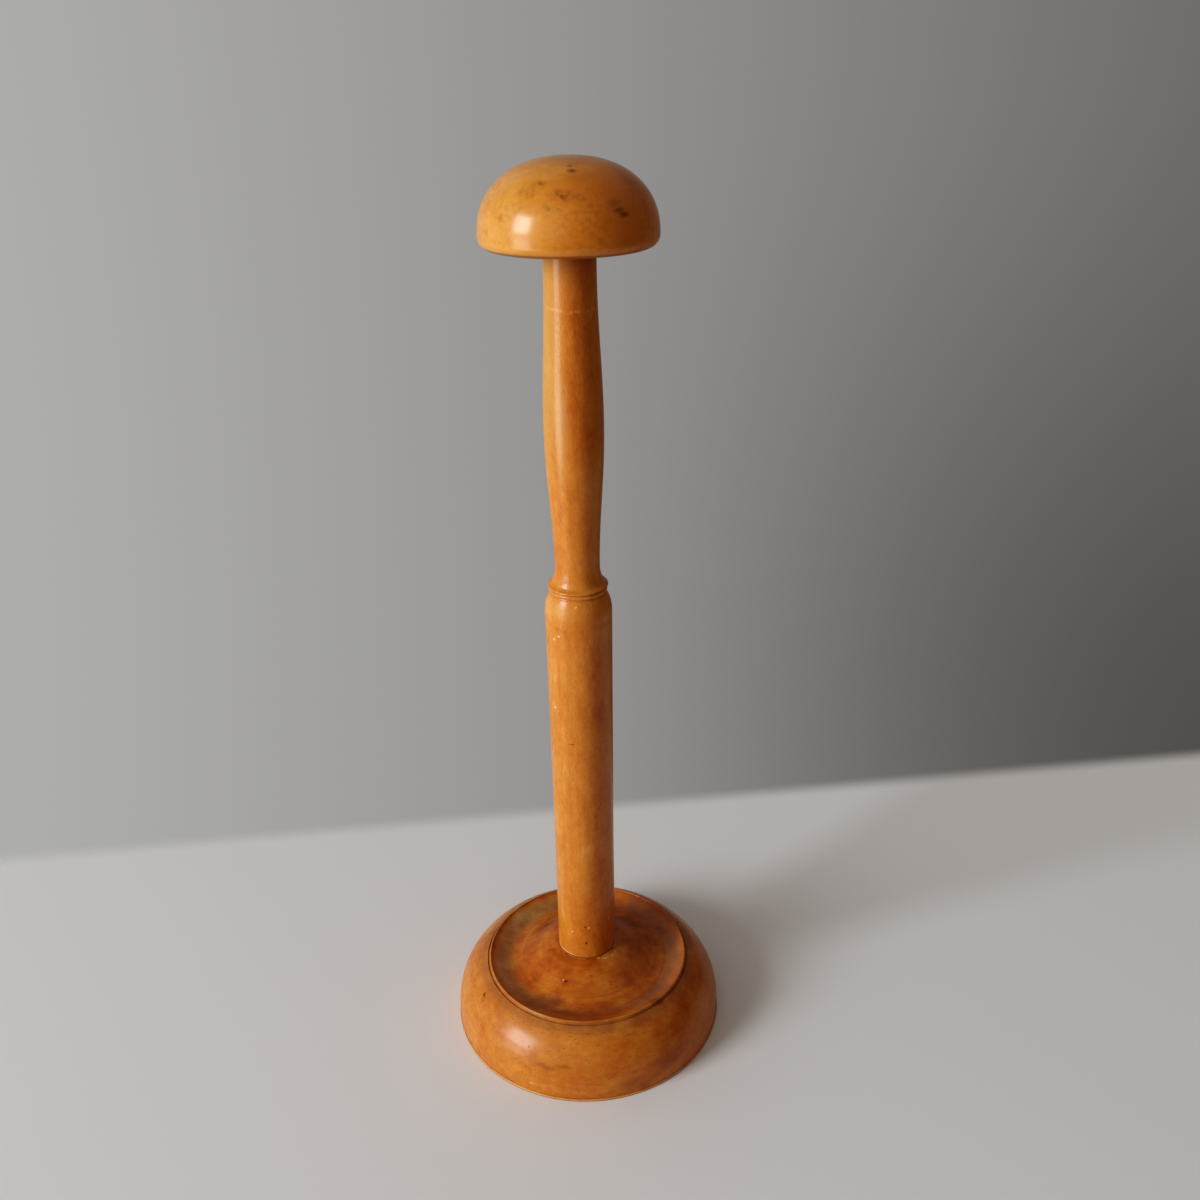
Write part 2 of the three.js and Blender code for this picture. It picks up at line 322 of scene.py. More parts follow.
class Finish:
    """The nodes of one material, or of the room's soft light."""

    def __init__(self, owner):
        owner.use_nodes = True
        self.owner = owner
        self.tree = owner.node_tree
        self.tree.nodes.clear()

    def node(self, kind, settings=None, inputs=None, output=0):
        """Adds a node, sets it up, fills its sockets with numbers or signals and returns one output."""
        node = self.tree.nodes.new(kind)
        for name, value in (settings or {}).items():
            if name == "stops":
                place_stops(node.color_ramp, value)
            else:
                setattr(node, name, value)
        for name, value in (inputs or {}).items():
            socket = node.inputs[name]
            if isinstance(value, Signal):
                self.tree.links.new(value.socket, socket)
            else:
                socket.default_value = value
        return Signal(self, node.outputs[output])

    def maths(self, operation, first, second):
        return self.node("ShaderNodeMath", {"operation": operation}, {0: first, 1: second})

    def vector_maths(self, operation, first, second):
        return self.node("ShaderNodeVectorMath", {"operation": operation}, {0: first, 1: second})

    def scale(self, vector, factor):
        return self.node("ShaderNodeVectorMath", {"operation": "SCALE"}, {0: vector, "Scale": factor})

    def highest(self, *values):
        """The highest of some masks, so that marks don't add up where they meet."""
        best = values[0]
        for value in values[1:]:
            best = self.maths("MAXIMUM", best, value)
        return best

    def place(self):
        """Where a point of the piece lies, in millimetres."""
        return self.scale(self.node("ShaderNodeTexCoord", output="Object"), 1 / MM)

    def split(self, vector):
        return [self.node("ShaderNodeSeparateXYZ", inputs={0: vector}, output=axis) for axis in "XYZ"]

    def noise(self, vector, lumps, detail=2.0, roughness=0.5, shift=0.0):
        """Soft noise from 0 to 1, with so many lumps a millimetre along each axis."""
        inputs = {
            "Vector": self.vector_maths("MULTIPLY", vector, lumps),
            "W": shift,
            "Scale": 1.0,
            "Detail": detail,
            "Roughness": roughness,
        }
        return self.node("ShaderNodeTexNoise", {"noise_dimensions": "4D"}, inputs)

    def rings(self, distance, detail=2.0, roughness=0.5):
        """Noise along one distance only, which makes rings or bands."""
        inputs = {"W": distance, "Scale": 1.0, "Detail": detail, "Roughness": roughness}
        return self.node("ShaderNodeTexNoise", {"noise_dimensions": "1D"}, inputs)

    def ragged(self, vector, size, reach):
        """The same place, pushed about so that the edge of a mark isn't an even oval."""
        inputs = {"Vector": self.scale(vector, 1 / size), "Scale": 1.0, "Detail": 2.0}
        colours = self.node("ShaderNodeTexNoise", {"noise_dimensions": "3D"}, inputs, output="Color")
        push = self.scale(self.vector_maths("SUBTRACT", colours, (0.5, 0.5, 0.5)), reach)
        return self.vector_maths("ADD", vector, push)

    def rise(self, value, low, high):
        """0 below low and 1 above high, smooth between. With low above high it falls instead."""
        inputs = {"Value": value, "From Min": low, "From Max": high, "To Min": 0.0, "To Max": 1.0}
        return self.node("ShaderNodeMapRange", {"interpolation_type": "SMOOTHSTEP"}, inputs)

    def band(self, value, low, high, soft):
        """1 between low and high, 0 outside, with soft edges."""
        return self.rise(value, low - soft, low + soft) * self.rise(value, high + soft, high - soft)

    def mark(self, vector, centre, size, edge=0.5):
        """1 inside an oval mark and 0 outside it. With edge 0 it fades all the way from its middle."""
        offset = self.vector_maths("SUBTRACT", vector, centre)
        oval = self.vector_maths("MULTIPLY", offset, tuple(1 / part for part in size))
        distance = self.node("ShaderNodeVectorMath", {"operation": "LENGTH"}, {0: oval}, output="Value")
        return self.rise(distance, 1.0, edge)

    def blend(self, mask, under, over):
        """What is under where the mask is 0, and the plain colour over it where the mask is 1."""
        settings = {"data_type": "RGBA", "clamp_factor": True}
        inputs = {0: mask, MIX_FIRST: under, MIX_SECOND: opaque(over)}
        return self.node("ShaderNodeMix", settings, inputs, output=MIX_RESULT)

    def ramp(self, value, stops):
        """Runs through colours as the value rises. Each stop is a place and a colour."""
        return self.node("ShaderNodeValToRGB", {"stops": stops}, {0: value})

    def polish(self, tint, roughness, coat, height, coat_roughness, relief):
        """Closes the material: coloured wood under a thin polish, with fine relief of so many millimetres."""
        raised = {"Strength": 1.0, "Distance": relief * MM, "Height": height}
        inputs = {
            "Base Color": tint,
            "Roughness": roughness,
            "Specular IOR Level": 0.3,
            "Coat Weight": coat,
            "Coat Roughness": coat_roughness,
            "Coat IOR": 1.45,
            "Normal": self.node("ShaderNodeBump", inputs=raised),
        }
        self.close("ShaderNodeOutputMaterial", self.node("ShaderNodeBsdfPrincipled", inputs=inputs))

    def close(self, kind, surface):
        """Ends the nodes in their output."""
        output = self.tree.nodes.new(kind)
        self.tree.links.new(surface.socket, output.inputs["Surface"])


# Turning

def arc(centre, radius, start, end, steps):
    """Points on an arc about a (radius, height) centre. Angles are in degrees, 0 pointing outwards."""
    points = []
    for step in range(steps + 1):
        angle = math.radians(start + (end - start) * step / steps)
        points.append((centre[0] + radius * math.cos(angle), centre[1] + radius * math.sin(angle)))
    return points


def ease(start, end, steps):
    """Points strictly between two ends, where the radius swells smoothly from one to the other."""
    points = []
    for step in range(1, steps):
        part = step / steps
        swell = (1 - math.cos(math.pi * part)) / 2
        points.append((start[0] + (end[0] - start[0]) * swell, start[1] + (end[1] - start[1]) * part))
    return points


def turn_on_lathe(name, profile):
    """Turns a profile of (radius, height) points round the upright axis and returns the closed piece."""
    bpy.ops.object.select_all(action="DESELECT")
    bpy.ops.mesh.primitive_plane_add(size=MM, location=(0, 0, 0))
    piece = bpy.context.object
    piece.name = name
    piece.data.name = name
    bpy.ops.object.mode_set(mode="EDIT")
    bpy.ops.mesh.merge(type="CENTER")
    bpy.ops.transform.translate(value=(profile[0][0], 0, profile[0][1]))
    for here, there in zip(profile, profile[1:]):
        step = (there[0] - here[0], 0, there[1] - here[1])
        bpy.ops.mesh.extrude_vertices_move(TRANSFORM_OT_translate={"value": step})
    bpy.ops.mesh.select_all(action="SELECT")
    bpy.ops.mesh.spin(steps=LATHE_STEPS, angle=math.tau, center=(0, 0, 0), axis=(0, 0, 1))
    bpy.ops.mesh.select_all(action="SELECT")
    bpy.ops.mesh.remove_doubles(threshold=0.001 * MM)
    bpy.ops.mesh.normals_make_consistent(inside=False)
    bpy.ops.object.mode_set(mode="OBJECT")
    bpy.ops.object.shade_smooth_by_angle(angle=SMOOTH_FOLD)
    if not piece.data.polygons:
        raise RuntimeError(f"{name} was not turned")
    return piece


def finish_piece(piece, material, node):
    """Gives a piece its finish and lets it stand for its node of the frame."""
    piece.data.materials.append(material)
    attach(piece, "root")
    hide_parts(node)


def base_profile(size):
    """The base from the axis under it, out round the flank, rim and moat, to the bottom of its hole."""
    seat = STEM_LOW.z + FOOT_TENON_LENGTH * MM
    lip = size.radius + size.lip_proud
    sweep = size.flank_sweep
    flank_centre = size.radius - size.flank_arc
    quirk_radius = flank_centre + size.flank_arc * math.cos(sweep)
    quirk_height = size.flank_start + size.flank_arc * math.sin(sweep)
    crest = quirk_height + size.rim_rise
    rim_outer = quirk_radius - size.quirk_width
    rim_centre = (rim_outer - size.rim_batter - size.rim_bead, crest - size.rim_bead)
    rim_inner = rim_centre[0] - size.rim_bead
    moat = (rim_centre[0] - size.moat_width, crest - size.moat_depth)
    seat_radius = FOOT_RADIUS * MM + size.seat_margin
    moat_wall = []
    for step in range(MOAT_STEPS - 1, -1, -1):
        part = step / MOAT_STEPS
        rise = (rim_centre[1] - moat[1]) * part ** size.moat_power
        moat_wall.append((moat[0] + (rim_inner - moat[0]) * part, moat[1] + rise))
    crown = []
    for step in range(CROWN_STEPS - 1, 0, -1):
        part = step / CROWN_STEPS
        fall = (1 - math.cos(math.pi * part)) / 2
        drop = (1 - size.crown_evenness) * fall + size.crown_evenness * part
        crown.append((seat_radius + (moat[0] - seat_radius) * part, seat - (seat - moat[1]) * drop))
    return [
        (0, 0),
        (lip - size.lip_round, 0),
        *arc((lip - size.lip_round, size.lip_round), size.lip_round, -60, 0, steps=3),
        *arc((lip - size.lip_round, size.lip_height - size.lip_round), size.lip_round, 0, 60, steps=3),
        (size.radius, size.lip_height),
        *arc((flank_centre, size.flank_start), size.flank_arc, 0, math.degrees(sweep), FLANK_STEPS),
        (rim_outer, quirk_height - size.quirk_depth),
        *arc(rim_centre, size.rim_bead, 20, 180, steps=12),
        *moat_wall,
        *crown,
        (seat_radius, seat),
        (size.mortise_radius, seat),
        (size.mortise_radius, seat - size.mortise_depth),
        (0, seat - size.mortise_depth),
    ]


def stem_profile(size):
    """The stem from the end of its foot tenon to the end of its cap tenon."""
    seat = STEM_LOW.z + size.foot_tenon_length
    column_top = seat + size.column_length
    shoulder_centre = (size.column_radius - size.shoulder_arc, column_top)
    shoulder_angle = math.degrees(math.asin(size.shoulder_rise / size.shoulder_arc))
    lower_joint = (size.joint_radius, column_top + size.shoulder_rise + size.lower_joint)
    band = (size.band_radius - size.band_arc, lower_joint[1] + size.band_rise)
    upper_joint = (size.joint_radius, band[1] + size.upper_joint)
    bead = (size.bead_radius - size.bead_arc, upper_joint[1] + size.bead_rise)
    neck = (size.neck_radius, bead[1] + size.neck_rise)
    flare = (size.neck_radius + size.flare_radius, neck[1])
    swell = (size.swell_radius, neck[1] + size.lower_length)
    top = (size.top_radius, swell[1] + size.upper_length)
    return [
        (0, STEM_LOW.z),
        (size.foot_tenon_radius - size.tenon_chamfer, STEM_LOW.z),
        (size.foot_tenon_radius, STEM_LOW.z + size.tenon_chamfer),
        (size.foot_tenon_radius, seat),
        (size.foot_radius - size.foot_chamfer, seat),
        (size.foot_radius, seat + size.foot_chamfer),
        (size.waist_radius, seat + size.waist_height),
        *arc(shoulder_centre, size.shoulder_arc, 0, shoulder_angle, steps=12),
        lower_joint,
        *arc(band, size.band_arc, -65, 60, steps=12),
        upper_joint,
        *arc(bead, size.bead_arc, 8, 60, steps=10),
        *arc(flare, size.flare_radius, 207.6, 180, steps=12),
        *ease(neck, swell, HANDLE_STEPS),
        swell,
        *ease(swell, top, HANDLE_STEPS),
        top,
        (size.top_radius, CAP_LOW.z),
        (size.cap_tenon_radius, CAP_LOW.z),
        (size.cap_tenon_radius, STEM_HIGH.z - size.tenon_chamfer),
        (size.cap_tenon_radius - size.tenon_chamfer, STEM_HIGH.z),
        (0, STEM_HIGH.z),
    ]


def cap_profile(size):
    """The cap from the top of its hole, out over the rounded edge and the dome, to the crown."""
    widest = CAP_LOW.z + size.edge_radius
    rise = size.height - size.edge_radius
    dome = []
    for step in range(1, DOME_STEPS):
        angle = math.pi / 2 * step / DOME_STEPS
        radius = size.radius * math.cos(angle) ** (2 / size.dome_power)
        dome.append((radius, widest + rise * math.sin(angle) ** (2 / size.dome_power)))
    return [
        (0, CAP_LOW.z + size.mortise_depth),
        (size.mortise_radius, CAP_LOW.z + size.mortise_depth),
        (size.mortise_radius, CAP_LOW.z),
        *arc((size.radius - size.edge_radius, widest), size.edge_radius, -90, 0, steps=16),
        *dome,
        (0, CAP_LOW.z + size.height),
    ]


# Finishes

def around(side, radius, height):
    """A place in millimetres, from its side in degrees: 0 faces the camera and 90 is to the right."""
    angle = math.radians(side)
    return (radius * math.sin(angle), -radius * math.cos(angle), height)


def wood_stops(colours):
    """The wood's colours from worn to dark, for a ramp."""
    return [
        (0.0, colours.pale),
        (0.30, colours.golden),
        (0.58, colours.amber),
        (0.84, colours.russet),
        (1.0, colours.umber),
    ]


def stem_finish(colours):
    """Golden wood with the grain running up the stem, fine turning ripples and old specks."""
    wood = Finish(bpy.data.materials.new("stem_polished_wood"))
    place = wood.place()
    x, y, z = wood.split(place)
    loose = wood.ragged(place, size=3.0, reach=1.2)

    # Figure of the wood: growth lines, streaks, blotches, mottle and short dashes that run up the stem.
    pith = ((x + 17.0) * (x + 17.0) + (y - 9.0) * (y - 9.0)) ** 0.5
    drift = wood.noise(place, (0.03, 0.03, 0.009))
    growth = wood.rings(pith * 0.55 + drift * 5.0)
    streaks = wood.noise(place, (0.6, 0.6, 0.05), detail=3.0, roughness=0.6, shift=3.0)
    blotches = wood.noise(place, (0.11, 0.11, 0.05), detail=3.0, shift=7.0)
    mottle = wood.noise(place, (0.45, 0.45, 0.22), detail=3.0, roughness=0.6, shift=11.0)
    dashes = wood.rise(wood.noise(place, (2.2, 2.2, 0.5), detail=1.0, shift=5.0), 0.59, 0.72)
    fine = wood.noise(place, (1.6, 1.6, 0.7), roughness=0.6, shift=15.0)

    # Depth of the colour. It is deeper on the handle and at the foot, and painted shade deepens it on the
    # right of the column.
    handle = wood.rise(z, 205.0, 215.0)
    tone = 0.33 + handle * 0.05 + (growth - 0.5) * 0.08 + (streaks - 0.5) * 0.10 + (blotches - 0.5) * 0.50
    tone = tone + (mottle - 0.5) * 0.36 + (fine - 0.5) * 0.22 + wood.rise(z, 80.0, 45.0) * 0.04
    tone = tone + wood.rise(x, -3.0, 5.0) * wood.rise(z, 196.0, 180.0) * 0.10

    # Broad dark places, the line under the shoulder and the small specks of the photographed side.
    dark_places = wood.highest(
        wood.mark(place, around(10, 12.5, 194), (9.0, 9.0, 12.0), 0.0) * 0.14,
        wood.mark(loose, around(36, 12.5, 155), (4.0, 4.0, 7.0), 0.0) * 0.14,
        wood.mark(loose, around(25, 12.6, 171), (3.5, 3.5, 4.0), 0.0) * 0.11,
        wood.mark(loose, around(-22, 12.2, 63), (1.6, 1.6, 5.0), 0.2) * 0.08,
        # Painted shade on the handle, to the right of its lit side.
        wood.mark(place, around(14, 10.5, 285), (10.0, 10.0, 80.0), 0.0) * 0.11,
        wood.mark(loose, around(6, 12.2, 62), (5.0, 5.0, 10.0), 0.0) * 0.12,
        # Painted shade under the cap, on the right of the handle.
        wood.mark(place, around(10, 9.3, 319), (8.0, 8.0, 30.0), 0.2) * 0.17,
        wood.band(z + (blotches - 0.5) * 5.0, 190.3, 191.8, 1.2) * mottle * 0.24,
        wood.mark(loose, around(-2, 12.2, 42.7), (0.7, 0.7, 0.8)) * 0.55,
        wood.mark(loose, around(-3, 12.2, 51.1), (0.6, 0.6, 0.7)) * 0.45,
        wood.mark(loose, around(-19, 12.4, 141.6), (1.8, 1.8, 0.45)) * 0.30,
    )
    # Painted shade on the top of the handle, under the cap's overhang.
    shade_under_cap = wood.rise(z, 318.0, 327.5) * 0.22
    tint = wood.ramp(tone + dark_places + shade_under_cap, wood_stops(colours))
    tint = wood.blend(dashes * (mottle * 0.9) * 0.7, tint, colours.olive)

    # Painted light: dull yellow where the handle faces the window, and pale painted highlights on the lit
    # side of the handle and shoulder.
    painted_window_light = wood.highest(
        wood.rise(x, -1.0, -9.0) * wood.rise(z, 236.0, 285.0) * 0.50,
        wood.rise(x, 9.0, -5.0) * wood.rise(z, 304.0, 322.0) * 0.30,
    )
    tint = wood.blend(painted_window_light, tint, colours.hay_painted_light)
    worn = wood.mark(place, around(-23, 10.5, 270), (4.5, 4.5, 24.0), 0.0) * (fine * 0.3 + 0.18)
    tint = wood.blend(worn, tint, colours.pale)
    shoulder = wood.band(z, 195.0, 200.5, 2.0)
    tint = wood.blend(shoulder * wood.rise(x, 10.0, -8.0) * (mottle * 0.3 + 0.04), tint, colours.pale)

    # The broken, slightly tilted scratch round the handle, under the cap.
    broken = wood.rise(wood.noise(place, (0.45, 0.45, 0.2), shift=20.0), 0.40, 0.62)
    wander = (wood.noise(place, (0.15, 0.15, 0.0)) - 0.5) * 2.0
    scored = wood.band(z + wander - y * 0.11 + x * 0.067, 308.2, 308.9, 0.45)
    tint = wood.blend(scored * broken * 0.6, tint, colours.pale)

    # Painted shade in the joints beside the band and where the foot meets the base.
    grooves = wood.highest(
        wood.band(z, 202.1, 202.6, 0.5) * 0.42,
        wood.band(z, 204.5, 204.9, 0.4) * 0.32,
        wood.rise(z, 34.75, 34.3) * 0.35,
    )
    tint = wood.blend(grooves * 0.62, tint, colours.grime_and_shade)

    # Chips through the polish, and a painted highlight along the edge of the foot on the side that faces the
    # window.
    foot_edge_highlight = wood.band(z, 34.7, 35.4, 0.35) * wood.rise(x * 0.6 - y * 0.4, 4.0, -4.0)
    chips = wood.highest(
        wood.mark(loose, around(-48, 12.7, 186.0), (0.8, 0.8, 0.6)),
        wood.mark(loose, around(-37, 12.7, 187.8), (0.7, 0.7, 0.5)),
        wood.mark(loose, around(-52, 12.5, 156.0), (0.8, 0.8, 0.7)),
        wood.mark(loose, around(-5, 11.5, 200.5), (0.5, 0.5, 0.4)),
        wood.mark(loose, around(-30, 12.2, 47.7), (0.6, 0.6, 0.6)),
        wood.mark(loose, around(4, 12.2, 50.7), (0.8, 0.8, 0.5)),
        wood.mark(loose, around(50, 12.2, 51.8), (0.7, 0.7, 0.6)),
    )
    tint = wood.blend(wood.highest(chips * 0.75, foot_edge_highlight * 0.8), tint, colours.bare)

    # Relief and gloss: ripples from the lathe, and many fine dents on the handle.
    ripple = wood.rings(z * 0.85 + drift * 1.5, roughness=0.6)
    height = ripple * (handle + 1.2) + streaks * 0.35 + mottle * 0.8 + fine * (handle * 2.0 + 0.6)
    height = height - dashes * 0.4 - chips * 0.8
    roughness = 0.42 + (mottle - 0.5) * 0.16 + (ripple - 0.5) * 0.08 + grooves * 0.25 + chips * 0.2
    coat = wood.rise(mottle * 0.6 + ripple * 0.4, 0.30, 0.62) * 0.32 + 0.20 - grooves * 0.3
    coat = coat + (fine - 0.5) * handle * 0.8 - shoulder * 0.22
    wood.polish(tint, roughness, coat, height, coat_roughness=0.18, relief=0.024)
    return wood.owner


def base_finish(colours):
    """Redder wood with the grain lying level, rings from the lathe, worn edges, dirty corners, and painted
    light and shade.
    """
    wood = Finish(bpy.data.materials.new("base_polished_wood"))
    place = wood.place()
    x, y, z = wood.split(place)
    radius = (x * x + y * y) ** 0.5
    loose = wood.ragged(place, size=5.0, reach=3.0)

    # Figure of the wood, which lies level, and the rings from the lathe.
    drift = wood.noise(place, (0.012, 0.035, 0.035))
    pith = (y * y + (z + 70.0) * (z + 70.0)) ** 0.5
    growth = wood.rings(pith * 0.35 + drift * 5.0)
    streaks = wood.noise(place, (0.05, 0.75, 0.75), detail=3.0, roughness=0.6, shift=3.0)
    blotches = wood.noise(place, (0.045, 0.06, 0.06), detail=3.0, shift=7.0)
    mottle = wood.noise(place, (0.3, 0.45, 0.45), shift=11.0)
    dashes = wood.rise(wood.noise(place, (0.45, 2.0, 2.0), detail=1.0, shift=5.0), 0.60, 0.72)
    clouds = wood.noise(place, (0.13, 0.14, 0.14), shift=41.0)
    turned = wood.rings(radius * 0.7 + z * 0.45 + drift * 2.0, detail=3.0, roughness=0.6)
    fine_rings = wood.rings(radius * 1.9 + drift * 1.5, roughness=0.6)

    # Depth of the colour. It is deeper inside the rim, painted shade deepens it on the right, and painted
    # light makes the moat paler on the left.
    crown = wood.rise(radius, 44.0, 41.0)
    painted_shade_right = wood.rise(x - y * 0.2, 15.0, 60.0)
    painted_window_light = wood.band(radius, 34.5, 41.0, 2.0) * wood.rise(x * 0.9 - y * 0.2, 0.0, -30.0)
    tone = 0.41 + crown * 0.11 + painted_shade_right * 0.09 + (growth - 0.5) * 0.12 + (streaks - 0.5) * 0.08
    tone = tone + (blotches - 0.5) * 0.56 + (mottle - 0.5) * 0.34 + (turned - 0.5) * (crown * 0.08 + 0.12)
    tone = tone - painted_window_light * 0.34 + (fine_rings - 0.5) * crown * 0.14
    tone = tone + (clouds - 0.5) * (crown * 0.26 + 0.34)

    # Broad dark places of the crown, the moat and the flank.
    dark_places = wood.highest(
        wood.mark(loose, (-19.0, 14.0, 29.6), (8.0, 9.0, 4.0), 0.1) * 0.20,
        wood.mark(loose, (29.0, -24.0, 25.7), (9.0, 8.0, 3.5), 0.1) * 0.22,
        wood.mark(loose, (7.0, -34.0, 25.4), (16.0, 6.0, 3.0), 0.0) * 0.16,
        wood.mark(loose, (4.0, -19.0, 32.4), (8.0, 5.0, 3.0), 0.0) * 0.13,
        wood.mark(loose, (-24.9, -1.1, 29.6), (7.0, 12.0, 4.0), 0.0) * 0.14,
        wood.mark(loose, (14.0, -26.0, 28.5), (9.0, 7.0, 4.0), 0.0) * 0.07,
        wood.mark(loose, around(27, 45.6, 26.2), (10.0, 6.0, 3.0), 0.0) * 0.14,
        # These two are the stem's painted shadow, falling on the crown behind it to the right.
        wood.mark(loose, (21.0, 17.0, 30.0), (15.0, 13.0, 8.0), 0.1) * 0.30,
        wood.mark(loose, (30.0, 30.0, 27.0), (26.0, 16.0, 8.0), 0.0) * 0.22,
        wood.mark(loose, (27.6, -31.5, 27.9), (5.0, 3.5, 3.0), 0.2) * 0.30,
        wood.mark(loose, around(54, 50.0, 22.5), (6.0, 8.0, 7.0), 0.0) * 0.16,
        wood.mark(loose, around(76, 50.1, 22.4), (5.0, 8.0, 6.0), 0.0) * 0.12,
        wood.mark(loose, around(36, 56.5, 9.0), (16.0, 12.0, 8.0), 0.0) * 0.20,
    )

    # Soft brown smudges, dark specks, bleached places and a painted sheen on the right wall of the moat.
    olive_marks = wood.highest(
        wood.mark(loose, around(-19, 55.1, 14.7), (7.0, 4.0, 1.8), 0.0) * 0.62,
        wood.mark(loose, around(-11, 54.6, 15.7), (6.0, 4.0, 1.6), 0.0) * 0.66,
        wood.mark(loose, around(16, 56.9, 5.4), (10.0, 6.0, 4.0), 0.0) * 0.50,
        wood.mark(loose, around(31, 56.1, 11.8), (5.0, 5.0, 4.0), 0.0) * 0.30,
        wood.mark(loose, (-15.1, -28.8, 26.2), (5.0, 3.0, 3.0), 0.2) * 0.40,
        dashes * 0.55,
    )
    specks = wood.highest(
        wood.mark(loose, around(-65, 48.7, 23.8), (1.2, 1.2, 1.2)),
        wood.mark(loose, around(-36, 52.1, 20.1), (0.7, 0.7, 0.8)),
        wood.mark(loose, around(-28, 52.3, 19.8), (0.8, 0.8, 0.6)),
        wood.mark(loose, around(156, 40.0, 25.9), (1.1, 1.4, 1.0)),
        wood.mark(loose, (-9.6, -21.2, 30.4), (0.7, 0.7, 0.9)),
    )
    bleached_and_sheen = wood.highest(
        wood.mark(loose, (-18.0, -19.5, 28.9), (9.0, 7.5, 4.0), 0.2) * 0.16,
        wood.mark(loose, (-27.0, 20.0, 27.6), (10.0, 13.0, 4.0), 0.0) * 0.16,
        # Painted sheen on the right wall of the moat.
        wood.mark(loose, (35.5, 1.5, 25.4), (5.0, 14.0, 3.0), 0.0) * 0.05,
    )
    tint = wood.ramp(tone + dark_places - bleached_and_sheen + specks * 0.4, wood_stops(colours))
    tint = wood.blend(olive_marks, tint, colours.olive)

    # Old dirt in the moat and in the groove outside the rim, with painted shade beside the rim, round the
    # stem's foot and at the lip, and a painted greyish reflection on the right of the moat.
    patchy = wood.rise(wood.noise(place, (0.16, 0.16, 0.2), detail=3.0, shift=31.0), 0.30, 0.62)
    raised = wood.rise(z, 22.0, 24.0)
    left = wood.rise(x * 0.9 - y * 0.2, 10.0, -25.0)
    grooves = wood.highest(
        wood.mark(loose, (-21.0, -28.5, 25.4), (9.5, 7.0, 4.0), 0.3) * 0.48,
        # Painted greyish reflection on the right of the moat.
        wood.mark(loose, (37.0, 2.0, 26.0), (7.0, 20.0, 4.0), 0.0) * 0.66,
        wood.band(radius, 42.8, 43.6, 0.25) * raised * (patchy * 0.20 + 0.26),
        wood.mark(loose, (-13.5, -28.6, 26.4), (5.0, 4.0, 3.0), 0.3) * 0.50,
        wood.band(radius, 34.0, 39.8, 2.0) * raised * left * (patchy * 0.16 + 0.03),
        wood.band(radius, 34.0, 38.0, 2.4) * raised * (patchy * 0.26 + 0.14),
        # This and the next are painted shade on the flank beside the rim.
        wood.band(radius, 42.8, 44.8, 0.8) * raised * (patchy * 0.28 + 0.14 - left * 0.08),
        wood.band(radius, 43.0, 46.5, 2.2) * raised * (patchy * 0.18 + 0.14),
        # Painted shade round the stem's foot; the two after it are painted shade over the lip and along the
        # bottom edge.
        wood.rise(radius, 13.2, 12.5) * 0.22,
        wood.band(z, 1.35, 1.6, 0.2) * 0.4,
        wood.rise(z, 0.5, 0.15) * 0.8,
    )
    tint = wood.blend(grooves, tint, colours.grime_and_shade)

    # Dull, greyish polish on both sides of the rim, partly a painted greyish reflection on the right of the
    # moat and beside the rim.
    bloom_and_sheen = wood.highest(
        wood.band(radius, 34.5, 41.0, 2.0) * raised * wood.rise(x, 8.0, 28.0) * (clouds * 0.30 + 0.18),
        wood.band(radius, 34.0, 40.5, 2.0) * raised * left * (clouds * 0.30 + 0.14),
        wood.band(radius, 32.0, 38.0, 3.0) * raised * 0.14,
        wood.band(radius, 43.0, 46.5, 1.5) * raised * (clouds * 0.40 - 0.12 + left * 0.10),
    )
    tint = wood.blend(bloom_and_sheen, tint, colours.bloom_and_sheen)

    # Pale edges: the lip and the glue line round the stem's foot are rubbed pale, and the rim's crest is
    # rubbed pale with a painted highlight on the window side.
    rim_crest = wood.band(radius, 42.35, 42.6, 0.15) * wood.rise(z, 28.2, 28.5)
    glue_line = wood.band(radius, 12.3, 12.8, 0.25) * wood.rise(mottle, 0.40, 0.55)
    worn = wood.highest(
        rim_crest * (patchy * 0.26 + left * 0.22 + 0.03),
        wood.band(z, 0.45, 1.2, 0.2) * (patchy * 0.4 + 0.3),
        glue_line * wood.rise(y - x * 0.4, 2.0, -6.0) * 0.75,
    )
    tint = wood.blend(worn, tint, colours.pale)

    # Chips through the polish, and crumbs of dried glue beside the stem's foot.
    chips = wood.highest(
        wood.mark(loose, (-10.4, -20.4, 30.6), (0.55, 0.55, 0.9)),
        wood.mark(loose, around(-25, 57.0, 5.3), (1.6, 1.2, 0.6)),
        wood.mark(place, around(21, 12.9, 34.3), (0.9, 0.6, 0.8)) * 0.8,
        wood.mark(loose, around(32, 13.9, 34.0), (1.6, 0.5, 0.8)) * 0.6,
        wood.mark(loose, around(38, 13.2, 34.1), (0.6, 0.6, 0.8)) * 0.5,
        wood.mark(place, around(46, 14.7, 33.8), (0.7, 0.5, 0.8)),
        wood.mark(loose, around(56, 14.3, 34.0), (0.5, 0.9, 0.8)) * 0.5,
    )
    tint = wood.blend(chips * 0.6, tint, colours.bare)

    # Relief and gloss.
    height = turned * 0.8 + fine_rings * crown * 0.6 + streaks * 0.3 + mottle * 1.4
    height = height - dashes * 0.25 - chips * 0.8
    roughness = 0.44 + (mottle - 0.5) * 0.16 + (turned - 0.5) * 0.10 + grooves * 0.30 + chips * 0.2
    coat = wood.rise(mottle * 0.6 + turned * 0.4, 0.30, 0.64) * 0.28 + 0.22 - grooves * 0.3
    wood.polish(tint, roughness, coat, height, coat_roughness=0.20, relief=0.03)
    return wood.owner


